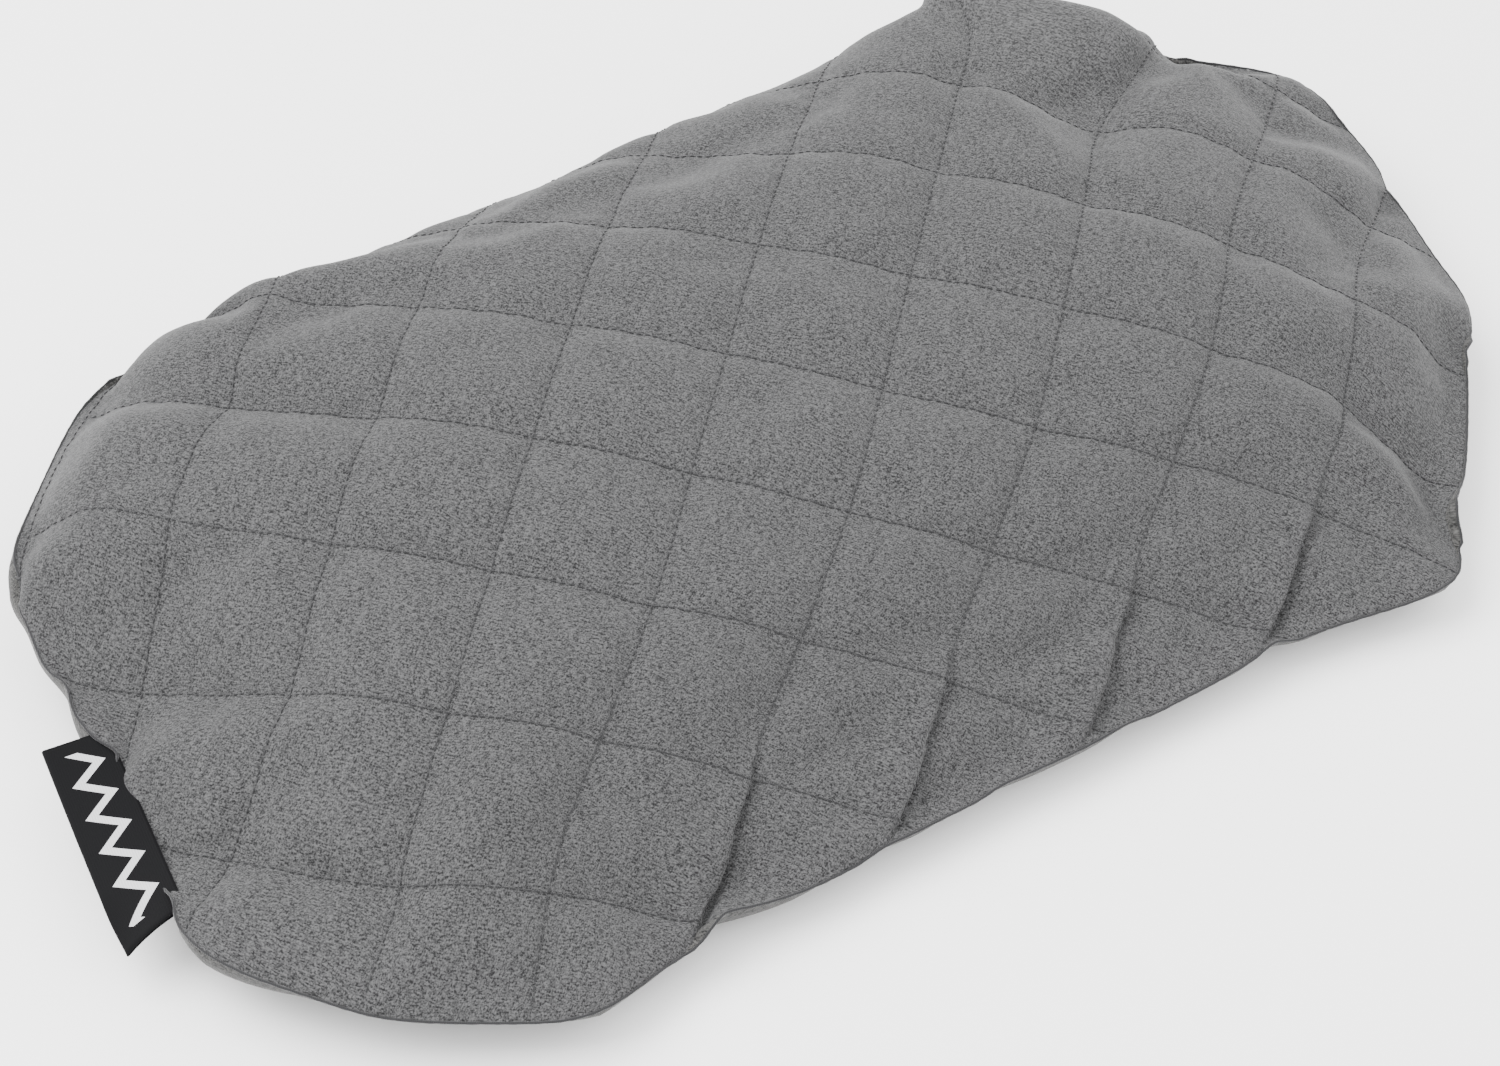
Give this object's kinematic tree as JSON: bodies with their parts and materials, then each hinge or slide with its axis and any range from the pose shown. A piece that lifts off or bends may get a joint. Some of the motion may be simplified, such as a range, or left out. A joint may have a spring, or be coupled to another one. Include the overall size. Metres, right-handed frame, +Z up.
{
  "type": "camp pillow",
  "caption": "Inflatable camp pillow with an elongated octagonal plan, in a removable diamond-quilted heather grey cover with a rear zip and a side label.",
  "frame": {"origin": "centre of the flat patch on the underside that the pillow rests on", "axes": "+Z up, +X along the pillow's length away from the label, +Y towards the long edge that holds the zip"},
  "size_m": [0.5892, 0.3549, 0.0904],
  "materials": {
    "brushed_knit": "brushed heather knit",
    "plain_knit": "brushed heather knit",
    "wadding": "soft fibre",
    "lining": "plain woven",
    "seam_thread": "matte thread",
    "label_ribbon": "woven satin",
    "zip_tape": "woven tape",
    "zip_coil": "satin nylon",
    "zip_metal": "satin black",
    "coated_fabric": "smooth coated",
    "valve_plastic": "satin",
    "nozzle_plastic": "gloss",
    "seal_rubber": "matte"
  },
  "bodies": {
    "pillow": {"cover_top_face": "brushed_knit", "cover_bottom_panel": "plain_knit", "perimeter_seam": "seam_thread", "quilt_wadding": "wadding", "quilt_lining": "lining", "quilting_thread": "seam_thread", "side_label": "label_ribbon", "zip_tape_upper": "zip_tape", "zip_tape_lower": "zip_tape", "zip_teeth_upper": "zip_coil", "zip_teeth_lower": "zip_coil", "zip_top_stops": "zip_metal", "zip_bottom_stop": "zip_metal", "bladder_top_sheet": "coated_fabric", "bladder_bottom_sheet": "coated_fabric", "bladder_rim_weld": "coated_fabric", "valve_flange": "valve_plastic", "valve_body": "valve_plastic"},
    "slider": {"zip_slider": "zip_metal"},
    "pull": {"zip_pull": "zip_metal"},
    "nozzle": {"valve_nozzle": "nozzle_plastic", "valve_o_ring": "seal_rubber"}
  },
  "joints": [
    {"name": "zip_slide", "type": "slide", "parent": "pillow", "child": "slider", "axis": [-1, 0, 0], "range_m": [0, 0.3]},
    {"name": "pull_flip", "type": "hinge", "parent": "slider", "child": "pull", "pos_m": [0.15, 0.1775, 0.045], "axis": [0, 0, -1], "range_deg": [0, 175]},
    {"name": "valve_push_pull", "type": "slide", "parent": "pillow", "child": "nozzle", "axis": [0, 0, -1], "range_m": [0, 0.004]}
  ]
}
